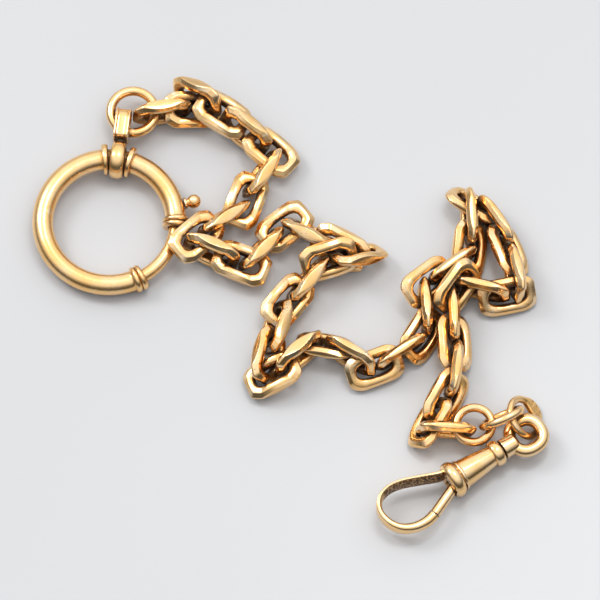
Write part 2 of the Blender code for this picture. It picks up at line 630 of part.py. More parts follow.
def main():
    for old in list(bpy.data.objects):
        bpy.data.objects.remove(old, do_unlink=True)

    ring_at, ring_turn = ring_frame()
    out = arc_point(BEAD_AT, 1.0)
    along = np.array([out[1], -out[0], 0.0])             # bead's own x, along the tube
    bead_turn = ring_turn @ np.column_stack([along, out, (0, 0, 1)])
    bead_at = ring_at + ring_turn @ arc_point(BEAD_AT)
    bail_turn = ring_turn @ np.column_stack([out, (-out[1], out[0], 0), (0, 0, 1)])
    bail_at = bead_at + bail_turn[:, 0] * (BEAD_RADIUS + 0.3)
    clip_at, clip_turn = np.array(CLIP_COLLAR), attitude(CLIP_HEADING, 0)

    # what the lay has to keep clear of
    tube_angles = np.concatenate([np.arange(0, 290, 4.0), np.arange(291, 357, 3.0)])
    tube_radii = np.where(tube_angles > 297, BOLT, TUBE)
    near_collar = (np.abs((tube_angles - 180) % 360 - 180) < 5) | (np.abs(tube_angles - 293) < 4)
    tube_radii = np.where(near_collar, COLLAR, tube_radii)
    tube_points = np.array([ring_at + ring_turn @ arc_point(a) for a in tube_angles])
    knob_point = ring_at + ring_turn @ arc_point(KNOB_AT, RING_RADIUS + KNOB_OUT)
    bead_points = [bead_at + bead_turn @ np.array([x, 0, 0]) for x in (-1.9, 0.0, 1.9)]
    high = BAIL_HIGH / 2 - BAIL_STRAP / 2
    strap = [(x, z) for x in np.arange(0.4, 3.8, 0.45) for z in (-high, high)]
    strap += [(0.4, z) for z in (-0.8, 0.0, 0.8)]
    strap += [(3.5 + high * math.cos(t), high * math.sin(t)) for t in np.linspace(-1.4, 1.4, 7)]
    bail_points = [bail_at + bail_turn @ np.array([x, y, z]) for x, z in strap
                   for y in (-0.95, 0.0, 0.95)]
    eye_loop = (oval(EYE_HALF_LONG, EYE_HALF_WIDE, 32, 2.3) + [EYE_AT, 0, 0]) @ clip_turn.T + clip_at
    barrel = [(x, r) for x, r in BARREL if x > -1] + [(10.4, CAP_RADIUS), (11.4, CAP_RADIUS)]
    barrel_points = [clip_at + clip_turn @ np.array([x, 0, 0]) for x, _ in barrel]
    fixed = [body(np.vstack([tube_points, knob_point]), [*tube_radii, KNOB_BALL]),
             body(bead_points, (FLANGE, BEAD_RADIUS, FLANGE)), body(bail_points, 0.46),
             body(eye_loop, EYE_WIRE), body(barrel_points, [r for _, r in barrel])]
    moving = [body(oval(JUMP_RADIUS, JUMP_RADIUS, 36), JUMP_WIRE, JUMP_LAY)]
    moving += [link_body(lay) for lay in LINK_LAY]
    moving += [body(oval(FIRST_RING_RADIUS, FIRST_RING_RADIUS, 32), FIRST_RING_WIRE,
                    FIRST_RING_LAY),
               body(oval(OVAL_LENGTH / 2 - OVAL_WIRE, OVAL_WIDTH / 2 - OVAL_WIRE, 32), OVAL_WIRE,
                    OVAL_LAY),
               body(oval(MARKED_RADIUS, MARKED_RADIUS, 32), MARKED_WIRE + 0.06, MARKED_LAY)]
    count = len(LINK_LAY)
    first = len(fixed) + 1
    chain = [(first + i, first + i + 1) for i in range(count - 1)]
    at, frame = settle(fixed + moving, chain)

    link_mesh = mesh_of("link", link_shape(), smooth=False)
    n = len(fixed)
    hung = bail_at + bail_turn[:, 0] * (BAIL_REACH - BAIL_STRAP)
    add_hung("jump_ring", ring_wire(JUMP_RADIUS, JUMP_RADIUS, JUMP_WIRE), at[n], frame[n],
             *rim_hinge(at[n], frame[n], JUMP_RADIUS, hung), (0.86, 0.58, 0.28), 0.25)
    for i in range(count):
        n = first + i
        near = at[n] - frame[n][:, 0] * LINK_HALF
        tint = 0.02 * ((i * 7) % 5 - 2)
        add(f"link_{i + 1:02d}", link_mesh, near, frame[n],
            (0.87 + tint, 0.60 + tint, 0.30 + tint / 2), 0.24 + abs(tint))
    n = first + count
    hung = at[n - 1] + frame[n - 1][:, 0] * LINK_HALF
    add_hung("end_ring", ring_wire(FIRST_RING_RADIUS, FIRST_RING_RADIUS, FIRST_RING_WIRE),
             at[n], frame[n], *rim_hinge(at[n], frame[n], FIRST_RING_RADIUS, hung),
             (0.85, 0.57, 0.27), 0.25)
    half_long, half_wide = OVAL_LENGTH / 2 - OVAL_WIRE, OVAL_WIDTH / 2 - OVAL_WIRE
    add_hung("end_oval", ring_wire(half_long, half_wide, OVAL_WIRE), at[n + 1], frame[n + 1],
             at[n + 1] - frame[n + 1][:, 0] * half_long, frame[n + 1], (0.85, 0.57, 0.27), 0.24)
    hung = at[n + 1] + frame[n + 1][:, 0] * half_long
    add_hung("marked_ring", marked_ring_shape(), at[n + 2], frame[n + 2],
             *rim_hinge(at[n + 2], frame[n + 2], MARKED_RADIUS, hung), (0.86, 0.60, 0.31), 0.26)

    add("bolt_ring", mesh_of("bolt_ring", ring_body_shape()), ring_at, ring_turn,
        (0.86, 0.59, 0.28), 0.22)
    outward = np.column_stack([arc_point(KNOB_AT, 1.0), arc_point(KNOB_AT + 90, 1.0), (0, 0, 1)])
    knob = mesh_of("knob", knob_shape(), (outward, arc_point(KNOB_AT)))
    bolt = combine("bolt", mesh_of("rod", bolt_shape()), [("UNION", knob)])
    add("bolt", bolt, ring_at, ring_turn, (0.85, 0.58, 0.28), 0.2)
    add("bolt_spring", mesh_of("bolt_spring", spring_shape()), ring_at, ring_turn,
        (0.55, 0.55, 0.57), 0.35)
    upright = np.array([[0, -1, 0], [1, 0, 0], [0, 0, 1]], float)       # x turned to y
    socket = mesh_of("socket", lathe([(BEAD_RADIUS - 0.95, BAIL_SOCKET),
                                      (BEAD_RADIUS + 0.5, BAIL_SOCKET)], 12), (upright, 0))
    bead = combine("swivel_bead", mesh_of("bead", bead_shape()), [("DIFFERENCE", socket)])
    add("swivel_bead", bead, bead_at, bead_turn, (0.87, 0.61, 0.31), 0.2)
    stub = mesh_of("stub", lathe([(-0.3 - BAIL_STUB_DEEP, BAIL_STUB), (0.3, BAIL_STUB)], 10))
    bail = combine("bail", mesh_of("strap", bail_shape()), [("UNION", stub)])
    add("bail", bail, bail_at, bail_turn, (0.86, 0.60, 0.30), 0.24)

    cap = mesh_of("cap", lathe([(CAP_FROM, CAP_RADIUS * 0.9), (CAP_FROM + 0.15, CAP_RADIUS),
                                (CAP_TO, CAP_RADIUS), (CAP_TO + 0.25, CAP_RADIUS * 0.8)], 16))
    pin = mesh_of("pin", lathe([(SMALL_COLLAR_AT + 0.85 - PIN_DEEP, PIN_RADIUS),
                                (CAP_FROM + 0.2, PIN_RADIUS)], 10))
    eye = combine("swivel_eye", mesh_of("eye", eye_shape()), [("UNION", cap), ("UNION", pin)])
    eye_at, eye_turn = eye_hinge(eye_loop, clip_turn, at[n + 2])
    move_mesh(eye, clip_at, clip_turn, eye_at, eye_turn)
    add("swivel_eye", eye, eye_at, eye_turn, (0.86, 0.60, 0.30), 0.22)
    bore = mesh_of("bore", lathe([(SMALL_COLLAR_AT + 0.6 - PIN_DEEP, PIN_BORE),
                                  (SMALL_COLLAR_AT + 2, PIN_BORE)], 12))
    slot = mesh_of("slot", box((-3.0, SLOT_LOW, -SLOT_HALF), (SLOT_DEEP, SLOT_HIGH, SLOT_HALF)))
    clip = combine("clip_body", mesh_of("barrel", lathe(BARREL, 20)),
                   [("UNION", mesh_of("hook", hook_shape())), ("DIFFERENCE", bore),
                    ("DIFFERENCE", slot)])
    add("clip_body", clip, clip_at, clip_turn, (0.87, 0.61, 0.31), 0.2)
    gate = mesh_of("clip_gate", lathe([(-0.6, GATE_RADIUS * 0.8), (-0.3, GATE_RADIUS),
                                       (GATE_LENGTH - 0.1, GATE_RADIUS),
                                       (GATE_LENGTH, GATE_RADIUS - 0.1)], 12))
    pivot = clip_at + clip_turn @ np.array([*GATE_PIVOT, 0.0])
    add("clip_gate", gate, pivot, clip_turn @ attitude(GATE_HEADING, 0), (0.86, 0.60, 0.30), 0.2)

    bpy.context.view_layer.update()
    corners = np.array([piece.matrix_world @ v.co for piece in bpy.context.scene.objects
                        for v in piece.data.vertices])
    low, high = corners.min(0), corners.max(0)
    shift = Vector(((low[0] + high[0]) / 2, (low[1] + high[1]) / 2, low[2]))
    for piece in bpy.context.scene.objects:
        piece.location -= shift


main()
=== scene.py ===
"""Looks of the gold pocket watch chain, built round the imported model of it."""
import json
import math

import bmesh
import bpy
import numpy as np
from mathutils import Matrix, Vector


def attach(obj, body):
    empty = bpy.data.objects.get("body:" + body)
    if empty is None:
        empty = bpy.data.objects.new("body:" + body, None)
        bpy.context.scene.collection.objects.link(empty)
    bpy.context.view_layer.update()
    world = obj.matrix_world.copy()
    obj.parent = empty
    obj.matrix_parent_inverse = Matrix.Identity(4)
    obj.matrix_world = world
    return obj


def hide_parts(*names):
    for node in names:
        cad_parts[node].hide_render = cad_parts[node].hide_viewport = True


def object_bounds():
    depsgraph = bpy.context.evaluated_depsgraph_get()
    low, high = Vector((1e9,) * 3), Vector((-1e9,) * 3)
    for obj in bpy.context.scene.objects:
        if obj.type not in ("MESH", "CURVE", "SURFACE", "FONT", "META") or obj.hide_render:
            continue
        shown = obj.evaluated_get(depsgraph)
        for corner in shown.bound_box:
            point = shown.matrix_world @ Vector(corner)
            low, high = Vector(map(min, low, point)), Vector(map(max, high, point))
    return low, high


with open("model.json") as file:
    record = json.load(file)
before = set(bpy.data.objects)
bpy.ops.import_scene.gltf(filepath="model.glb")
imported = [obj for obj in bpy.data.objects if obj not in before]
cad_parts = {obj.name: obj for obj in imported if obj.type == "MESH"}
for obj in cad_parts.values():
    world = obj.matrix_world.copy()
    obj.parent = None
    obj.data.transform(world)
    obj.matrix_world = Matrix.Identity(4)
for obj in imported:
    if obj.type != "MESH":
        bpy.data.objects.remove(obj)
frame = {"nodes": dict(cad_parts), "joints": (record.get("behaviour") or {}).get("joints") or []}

CAD_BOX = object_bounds()
MM = 0.001
UP = np.array([0.0, 0.0, 1.0])
JOINTS = {joint["child"]: joint for joint in frame["joints"]}
NODES = frame["nodes"]


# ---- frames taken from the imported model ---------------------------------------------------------
def unit(v):
    v = np.asarray(v, float)
    return v / np.linalg.norm(v)


def turn(axis, angle):
    return np.array(Matrix.Rotation(angle, 3, Vector(axis)))


def hinge_at(body):
    return np.array(JOINTS[body]["pos_m"], float) / MM


def points_of(node):
    mesh = NODES[node].data
    flat = np.empty(len(mesh.vertices) * 3)
    mesh.vertices.foreach_get("co", flat)
    return flat.reshape(-1, 3) / MM


def hung_frame(node):
    """Origin at the piece's hinge, x towards its middle, y along the hinge."""
    at = hinge_at(node)
    y = unit(JOINTS[node]["axis"])
    away = np.unique(np.round(points_of(node), 4), axis=0).mean(0) - at
    x = unit(away - y * away.dot(y))
    return at, np.column_stack([x, y, np.cross(x, y)])


# ---- shapes, in millimetres ---------------------------------------------------------------------
PATH_POINTS = 720


def loft(rings, closed=False):
    """Skin over rings with the same number of points; capped unless it closes on itself."""
    rings = [np.asarray(ring, float) for ring in rings]
    n, k = len(rings), len(rings[0])
    faces = []
    for i in range(n if closed else n - 1):
        a, b = i * k, (i + 1) % n * k
        faces += [(a + j, a + (j + 1) % k, b + (j + 1) % k, b + j) for j in range(k)]
    if not closed:
        faces += [tuple(range(k))[::-1], tuple(range((n - 1) * k, n * k))]
    return np.concatenate(rings), faces


def angles(count):
    return np.linspace(0.0, 2 * np.pi, count, endpoint=False)


def oval(half_long, half_wide, power=2.0):
    """Finely drawn oval path in the xy plane; a power over 2 makes it squarer."""
    a = angles(PATH_POINTS)
    c, s = np.cos(a), np.sin(a)
    e = 2.0 / power
    return np.stack([half_long * np.sign(c) * np.abs(c) ** e,
                     half_wide * np.sign(s) * np.abs(s) ** e, 0 * a], -1)


def even(path, count):
    """Resample a closed path at even steps."""
    path = np.vstack([path, path[:1]])
    run = np.r_[0, np.cumsum(np.linalg.norm(np.diff(path, axis=0), axis=1))]
    at = np.linspace(0, run[-1], count, endpoint=False)
    return np.stack([np.interp(at, run, path[:, k]) for k in range(3)], -1)


def sweep(path, sections, closed=False):
    """Carry sections of (outward, upward) points along a path that lies flat."""
    path = np.asarray(path, float)
    if closed:
        ahead = np.roll(path, -1, 0) - np.roll(path, 1, 0)
    else:
        ahead = np.gradient(path, axis=0)
    rings = []
    for point, way, section in zip(path, ahead, sections):
        out = unit(np.cross(way, UP))
        rise = unit(np.cross(out, way))
        section = np.asarray(section, float)
        rings.append(point + section[:, :1] * out + section[:, 1:] * rise)
    return loft(rings, closed)


def circle(radius, sides, tall=None):
    a = angles(sides)
    return np.stack([radius * np.cos(a), (tall or radius) * np.sin(a)], -1)


def lathe(profile, sides, closed=False):
    """Turn (along, radius) points round the x axis."""
    a = angles(sides)
    return loft([np.stack([np.full(sides, x), r * np.cos(a), r * np.sin(a)], -1)
                 for x, r in profile], closed)


def eased(before, corner, after, steps):
    """Curve that starts at before, leans towards the corner and ends at after."""
    return [(1 - t) ** 2 * before + 2 * t * (1 - t) * corner + t * t * after
            for t in np.linspace(0, 1, steps + 1)]


def rounded(corners, radius, steps=3):
    """Profile points with each corner between the two ends turned into a small curve."""
    corners = [np.array(c, float) for c in corners]
    out = [corners[0]]
    for before, here, after in zip(corners, corners[1:], corners[2:]):
        a, b = before - here, after - here
        la, lb = np.linalg.norm(a), np.linalg.norm(b)
        cut = min(radius, la * 0.45, lb * 0.45)
        out += eased(here + a / la * cut, here, here + b / lb * cut, steps)
    return out + [corners[-1]]


# ---- trace link ---------------------------------------------------------------------------------
LINK_LONG, LINK_WIDE, LINK_THICK = 9.6, 6.1, 1.65
CUT_ALONG, CUT_ACROSS = 1.6, 1.0      # what each filed corner takes off the length and width
HOLE_LONG, HOLE_WIDE, HOLE_POWER = 6.3, 2.85, 2.7
LINK_HALF = 3.925                     # from a link's hinge to its middle
LINK_ENDS = 0.98                      # thickness at the link's ends, as a share of LINK_THICK
CRISP_KINDS = ((0.45, 1.36), (0.55, 1.32), (0.5, 1.28))    # corner rounding and middle thickness
WORN_KINDS = ((0.72, 1.10), (0.8, 1.05), (0.68, 1.14))
CROWN = 0.05                          # how far the filed facets stand proud of flat
WORN_FROM = 25                        # the chain's second half has slimmer, rounder links
RIM_SHARE = 0.27                      # share of the thickness that the rim's facet takes
LONG_LENS, END_LENS = 0.40, 0.24      # how much wider it gets at mid side and mid end
LENS_FROM, LENS_SPAN = 0.78, 0.5      # middle thickness at which mid side starts to widen
LONG_STEPS, END_STEPS, CUT_STEPS = 14, 8, 3
ON_RIM = 0.02
HOLE_EDGE = 0.40                      # half height of the hole's wall, as a share of the link's
SLOPE_SHARE, FLAT_SHARE = 0.36, 0.55  # width of the sloping facet, and of the flat in the rest


def link_outline(fillet, full):
    """Points round the eight-sided rim, each with its rim facet's share and its thickness."""
    half, wide = LINK_LONG / 2, LINK_WIDE / 2
    sx, sy = half - CUT_ALONG, wide - CUT_ACROSS
    corners = [np.array(c) for c in ((half, sy), (sx, wide), (-sx, wide), (-half, sy),
                                     (-half, -sy), (-sx, -wide), (sx, -wide), (half, -sy))]
    spans = (CUT_STEPS, LONG_STEPS, CUT_STEPS, END_STEPS) * 2
    out = []
    for i, corner in enumerate(corners):
        before, after = corners[i - 1], corners[(i + 1) % len(corners)]
        p, q = corner + unit(before - corner) * fillet, corner + unit(after - corner) * fillet
        out += eased(p, corner, q, 4)
        end = after + unit(corner - after) * fillet
        out += [q + (end - q) * t / (spans[i] + 1) for t in range(1, spans[i] + 1)]
    rows = []
    for x, y in out:
        mid_side = 1 - min(1, abs(x) / sx) ** 2
        lens = RIM_SHARE
        if abs(y) > wide - ON_RIM:
            lens += LONG_LENS * (full - LENS_FROM) / LENS_SPAN * mid_side
        elif abs(x) > half - ON_RIM:
            lens += END_LENS * (1 - min(1, abs(y) / sy) ** 2)
        rows.append((x, y, lens, LINK_ENDS + (full - LINK_ENDS) * mid_side))
    return rows


def link_shape(seed, fillet, full):
    """A filed link; no two of the few kinds are worn quite alike."""
    draw = np.random.default_rng(seed)
    phase, size = draw.uniform(0, 2 * np.pi, 6), draw.uniform(0.4, 1.0, 6)
    rings = []
    for x, y, lens, swell in link_outline(fillet, full):
        t = swell * LINK_THICK / 2
        edge = HOLE_EDGE * t
        a = math.atan2(y / (LINK_WIDE / 2), x / (LINK_LONG / 2))
        c, s = math.cos(a), math.sin(a)
        e = 2 / HOLE_POWER
        hole = np.array([HOLE_LONG / 2 * math.copysign(abs(c) ** e, c),
                         HOLE_WIDE / 2 * math.copysign(abs(s) ** e, s)])
        rim = np.array([x, y])
        long = np.linalg.norm(hole - rim)
        inward = (hole - rim) / long
        side = t * lens * (1 + 0.05 * size[0] * math.sin(2 * a + phase[0]))
        face = SLOPE_SHARE * long + 0.03 * size[1] * math.sin(3 * a + phase[1])
        slope = np.array([face, t - side])
        slope /= np.linalg.norm(slope)
        half = [(-CROWN, 0.0), (-0.75 * CROWN, 0.5 * side), (0.0, side - 0.05), (0.02, side),
                (0.05 * slope[0] + 0.01, side + 0.05 * slope[1] + 0.01),
                (face - 0.07 * slope[0], t - 0.07 * slope[1]),
                (face + 0.01, t - 0.012), (face + 0.09, t)]
        flat_end = face + (long - face) * FLAT_SHARE
        half += [((face + flat_end) / 2 + 0.05, t + CROWN / 2), (flat_end, t - 0.01)]
        for k in (0.3, 0.6, 0.85, 1.0):
            b = k * math.pi / 2
            half += [(flat_end + (long - flat_end) * math.sin(b),
                      edge + (t - 0.01 - edge) * math.cos(b))]
        half += [(long, edge * 0.4)]
        section = half + [(u, -z) for u, z in half[:0:-1]]
        waver = 0.018 * size[2] * math.sin(2 * a + phase[2]) + 0.012 * math.sin(5 * a + phase[3])
        rings.append([(*(rim + inward * u), z + waver * (1 if z > 0 else -1) * (abs(z) > 0.5))
                      for u, z in section])
    points, faces = loft(rings, closed=True)
    return points + [LINK_HALF, 0, 0], faces


# ---- rings --------------------------------------------------------------------------------------
def wire_ring(half_long, half_wide, wire, seed, stations=120, sides=24, seam=None):
    """Closed ring of slightly uneven round wire; seam is the angle of its soldered joint."""
    draw = np.random.default_rng(seed)
    phase = draw.uniform(0, 2 * np.pi, 4)
    path = even(oval(half_long, half_wide), stations)
    sections = []
    for i in range(stations):
        a = 2 * np.pi * i / stations
        r = wire * (1 + 0.012 * math.sin(2 * a + phase[0]) + 0.008 * math.sin(5 * a + phase[1]))
        if seam is not None:
            off = abs((math.degrees(a) - seam + 180) % 360 - 180)
            solder, nick = math.exp(-(off / 7) ** 2), math.exp(-(off / 2.0) ** 2)
            r *= 1 + 0.07 * solder - 0.10 * nick
        sections.append(circle(r, sides, r * (1 + 0.01 * math.sin(3 * a + phase[2]))))
    return sweep(path, sections, closed=True)


# half length, half width, wire radius, seed, and where the soldered joint shows
WIRE_RINGS = {"jump_ring": (3.7, 3.7, 0.80, 11, 150), "end_ring": (2.95, 2.95, 0.72, 12, None),
              "end_oval": (3.44, 2.64, 0.66, 13, None)}
MARK_RADIUS, MARK_WIRE, PLAQUE_WIDE, PLAQUE_ARC = 3.25, 0.60, 1.22, 42.0
PANELS, PANEL_ARC, PANEL_WIDE = (-17.0, 0.0, 17.0), 6.2, 0.62
PANEL_DEEP, RIB_DEEP = 0.07, 0.10


def marked_ring(at_angle, stations=240, sides=40):
    """Ring that widens into a flat plaque with three worn, meaningless punched panels."""
    path = even(oval(MARK_RADIUS, MARK_RADIUS), stations)
    a = angles(sides)
    sections = []
    for i in range(stations):
        off = (i * 360 / stations - at_angle + 180) % 360 - 180
        t = max(0.0, 1 - (off / PLAQUE_ARC) ** 2)
        wide = MARK_WIRE + (PLAQUE_WIDE - MARK_WIRE) * t
        tall = MARK_WIRE - 0.08 * t
        square = 1 - 0.45 * t
        out = np.sign(np.cos(a)) * np.abs(np.cos(a)) ** square * wide
        rise = np.sign(np.sin(a)) * np.abs(np.sin(a)) ** square * tall
        for k, centre in enumerate(PANELS):
            along, across = (off - centre) / PANEL_ARC, out / (wide * PANEL_WIDE)
            inside = np.clip(1.15 - np.abs(along) ** 4 - np.abs(across) ** 4, 0, 0.25) / 0.25
            ribs = 0.5 + 0.5 * np.cos(along * 7 + k) * np.cos(across * (5 + k))
            top = (rise > 0.3 * tall) & (t > 0.2)
            rise = np.where(top, rise - inside * (PANEL_DEEP + RIB_DEEP * ribs), rise)
        sections.append(np.stack([out, rise], -1))
    return sweep(path, sections, closed=True)


# ---- bolt ring ----------------------------------------------------------------------------------
# radii and lengths in millimetres; places round the ring, the collars and travel in degrees
RING, TUBE, BORE, BOLT = 11.0, 1.73, 1.32, 1.10
COLLAR, GROOVE, FLANGE = 2.24, 1.86, 2.60
OPEN_FROM, OPEN_TO, BORE_END, SOCKET = -6.0, 300.5, 77.0, 9.0
BOLT_TIP, BOLT_REAR, KNOB_AT, KNOB_TRAVEL, SLOT_MARGIN = -67.0, 23.0, 14.5, 45.0, 4.0
STEM, FOOT, BALL, KNOB_OUT = 0.45, 0.98, 1.16, 3.42
BEAD_AT, BEAD_R, BEAD_EDGE, BEAD_HALF, BEAD_BORE = 83.0, 3.15, 2.75, 1.15, 1.98
BEAD_GAP, FLANGE_WIDE, COLLAR_WIDE, COLLAR_FOOT = 0.48, 0.95, 9.3, 0.3
SLOT_STEPS, BACK_STEPS = 26, 90
SLOT_HALF = 2                         # half the slot's width, in sides of the tube
DEGREE = math.degrees(1 / RING)       # degrees that a millimetre of the ring's middle line spans


def arc_point(angle, radius=RING, up=0.0):
    a = math.radians(angle)
    return np.array([radius * math.cos(a), radius * math.sin(a), up])


def arc_ring(angle, radius, sides):
    return np.array([arc_point(angle, RING + radius * math.cos(t), radius * math.sin(t))
                     for t in angles(sides)])


def reeds(start):
    """Collar of two round reeds, as (angle, radius) rows."""
    rows = []
    for t in np.linspace(0, 1, 25):
        u = (t * 2) % 1.0 if 0 < t < 1 else t
        bulge = math.sqrt(max(0.0, 1 - (2 * u - 1) ** 2))
        rows.append((start + COLLAR_WIDE * t, GROOVE - 0.04 + (COLLAR - GROOVE + 0.04) * bulge))
    rows[0] = (start, COLLAR - 0.17)
    rows[-1] = (start + COLLAR_WIDE, COLLAR - 0.17)
    return rows


def flange(start):
    """Rounded flange beside the bead, as (angle, radius) rows."""
    wide = FLANGE_WIDE * DEGREE
    rows = [(start - 0.15, TUBE), (start, TUBE + 0.06), (start + 0.02 * wide, FLANGE - 0.32)]
    rows += [(start + wide * t, FLANGE - 0.3 + 0.3 * math.sqrt(1 - (2 * t - 1) ** 2))
             for t in np.linspace(0.04, 0.96, 11)]
    return rows + [(start + 0.98 * wide, FLANGE - 0.32), (start + wide, TUBE + 0.06),
                   (start + wide + 0.15, TUBE)]


def ring_body(sides=40):
    """The tube with its bore, closing socket and the slot that the knob travels in."""
    bead = (BEAD_HALF + BEAD_GAP) * DEGREE
    slot_from, slot_to = KNOB_AT - SLOT_MARGIN, KNOB_AT + KNOB_TRAVEL + SLOT_MARGIN
    rows = reeds(OPEN_FROM) + [(OPEN_FROM + COLLAR_WIDE + COLLAR_FOOT, TUBE)]
    rows += [(slot_from + (slot_to - slot_from) * i / SLOT_STEPS, TUBE)
             for i in range(SLOT_STEPS + 1)]
    slot = (len(rows) - SLOT_STEPS - 1, len(rows) - 1)
    rows += flange(BEAD_AT - bead - FLANGE_WIDE * DEGREE) + flange(BEAD_AT + bead)
    begin, last = rows[-1][0], OPEN_TO - COLLAR_WIDE - COLLAR_FOOT
    rows += [(begin + (last - begin) * i / BACK_STEPS, TUBE) for i in range(1, BACK_STEPS + 1)]
    rows += reeds(OPEN_TO - COLLAR_WIDE)
    outer = [arc_ring(a, r, sides) for a, r in rows]
    bore = [a for a, _ in rows if a <= slot_to + 0.01]
    inner = [arc_ring(a, BORE, sides) for a in bore + [BORE_END]]
    socket = [arc_ring(OPEN_TO - SOCKET * t, BORE, sides) for t in (0.0, 1.0)]
    points = np.concatenate(outer + inner + socket)
    base_in, base_end = len(outer) * sides, (len(outer) + len(inner)) * sides
    faces = []

    def band(first, second, skip=()):
        for j in range(sides):
            if j not in skip:
                k = (j + 1) % sides
                faces.append((first + j, first + k, second + k, second + j))

    gap = tuple(range(sides - SLOT_HALF, sides)) + tuple(range(SLOT_HALF))
    for i in range(len(outer) - 1):
        band(i * sides, (i + 1) * sides, gap if slot[0] <= i < slot[1] else ())
    for i in range(len(inner) - 1):
        inside = gap if slot[0] <= i < slot[1] else ()
        band(base_in + (i + 1) * sides, base_in + i * sides, inside)
    for i in range(slot[0], slot[1]):
        for j in (sides - SLOT_HALF, SLOT_HALF):
            faces.append((i * sides + j, (i + 1) * sides + j,
                          base_in + (i + 1) * sides + j, base_in + i * sides + j))
    for i in slot:
        for j in gap:
            k = (j + 1) % sides
            faces.append((i * sides + j, i * sides + k, base_in + i * sides + k,
                          base_in + i * sides + j))
    band(base_in, 0)
    faces.append(tuple(base_in + (len(inner) - 1) * sides + j for j in range(sides)))
    band((len(outer) - 1) * sides, base_end)
    band(base_end, base_end + sides)
    faces.append(tuple(base_end + sides + j for j in range(sides)))
    return points, faces


def bolt_rod(sides=32):
    """Curved rod with a rounded tip."""
    rings = [arc_ring(BOLT_TIP - 0.01, BOLT * 0.6, sides),
             arc_ring(BOLT_TIP + 0.4, BOLT * 0.9, sides)]
    return loft(rings + [arc_ring(a, BOLT, sides)
                         for a in np.linspace(BOLT_TIP + 1, BOLT_REAR, 70)])


def knob():
    """Thumb knob: a stem, a small foot on the tube and a ball."""
    foot = TUBE + 0.03
    profile = [(0.3, STEM), (foot, STEM), (foot + 0.02, FOOT - 0.06), (foot + 0.1, FOOT),
               (foot + 0.34, FOOT), (foot + 0.46, FOOT * 0.9), (foot + 0.54, 0.74),
               (foot + 0.6, 0.7)]
    profile += [(KNOB_OUT - BALL * math.cos(t), BALL * math.sin(t))
                for t in np.radians(np.linspace(40, 176, 18))]
    return lathe(profile, 32)


def bead():
    """Barrel bead, bored for the tube."""
    rows = [(-BEAD_HALF, BEAD_BORE), (-BEAD_HALF, BEAD_EDGE - 0.12),
            (-BEAD_HALF + 0.05, BEAD_EDGE)]
    rows += [(BEAD_HALF * t, BEAD_EDGE + 0.03 + (BEAD_R - BEAD_EDGE - 0.03) * (1 - abs(t) ** 2.4))
             for t in np.linspace(-0.9, 0.9, 19)]
    rows += [(BEAD_HALF - 0.05, BEAD_EDGE), (BEAD_HALF, BEAD_EDGE - 0.12), (BEAD_HALF, BEAD_BORE)]
    return lathe(rows, 64, closed=True)


BAIL_REACH, BAIL_HIGH, BAIL_WIDE, BAIL_STRAP = 5.6, 4.2, 2.6, 0.75
BAIL_STUB, BAIL_STUB_DEEP, BAIL_GAP = 0.45, 0.75, 0.3
RIM_AT, RIM_HALF, MIDDLE_HALF, GROOVE_LEFT = 0.79, 0.2, 0.62, 0.04


def bail():
    """Stirrup of strap with a raised rim at each side and a shallow crown between them."""
    high = BAIL_HIGH / 2 - BAIL_STRAP / 2
    near, far = BAIL_STRAP / 2, BAIL_REACH - BAIL_STRAP / 2 - high
    arc = [(far + high * math.cos(t), high * math.sin(t))
           for t in np.linspace(-math.pi / 2, math.pi / 2, 25)]
    side = [near + 0.25 + (far - near - 0.25) * t for t in (0.0, 0.25, 0.5, 0.75)]
    path = [(x, -high) for x in side] + arc + [(x, high) for x in side[::-1]]
    path += [(near + 0.07, high - 0.07), (near, high - 0.25), (near, 0.7), (near, 0.0),
             (near, -0.7), (near, -high + 0.25), (near + 0.07, -high + 0.07)]
    w, t = BAIL_WIDE / 2, BAIL_STRAP / 2
    across = np.linspace(-1, 1, 31)
    rim = np.sqrt(np.clip(1 - ((np.abs(across) - RIM_AT) / RIM_HALF) ** 2, 0, 1))
    crown = MIDDLE_HALF * np.sqrt(np.clip(1 - (across / MIDDLE_HALF) ** 4, 0, 1))
    top = GROOVE_LEFT + (t - GROOVE_LEFT) * np.maximum(rim, crown)
    section = [(u * w, v) for u, v in zip(across, top)]
    section += [(w, 0.0), (w, -t + 0.08), (w - 0.08, -t)]
    section += [(-w + 0.08, -t), (-w, -t + 0.08), (-w, 0.0)]
    rings = []
    n = len(path)
    for i in range(n):
        way = unit(np.array(path[(i + 1) % n]) - np.array(path[i - 1]))
        out = np.array([way[1], -way[0]])
        rings.append([(path[i][0] + v * out[0], u, path[i][1] + v * out[1]) for u, v in section])
    return loft(rings, closed=True)


# ---- dog clip -----------------------------------------------------------------------------------
# millimetres from the clip's hinge, headings in degrees; the eye lies ahead, the hook behind
CLIP_HEADING, SMALL_COLLAR = 33.0, 8.5
EYE_AT, EYE_HALF, EYE_WIRE, EYE_POWER = 14.3, 2.65, 1.05, 2.3
CAP_R, CAP_FROM, CAP_TO = 1.72, 9.65, 12.0
PIN_R, PIN_FROM = 0.5, 7.45
GATE_SLOT_ALONG, GATE_SLOT_ACROSS, GATE_SLOT_WIDE = (-3.0, 1.25), (-2.55, 0.45), 2.4
GATE_LONG, GATE_HEADING, GATE_R = 6.3, 203.5, 0.90
BARREL_FROM, BARREL_LONG, BARREL_R, BARREL_TAPER = 1.68, 5.82, 2.42, 0.72
HOOK_STEPS, HOOK_SIDES = 8, 36
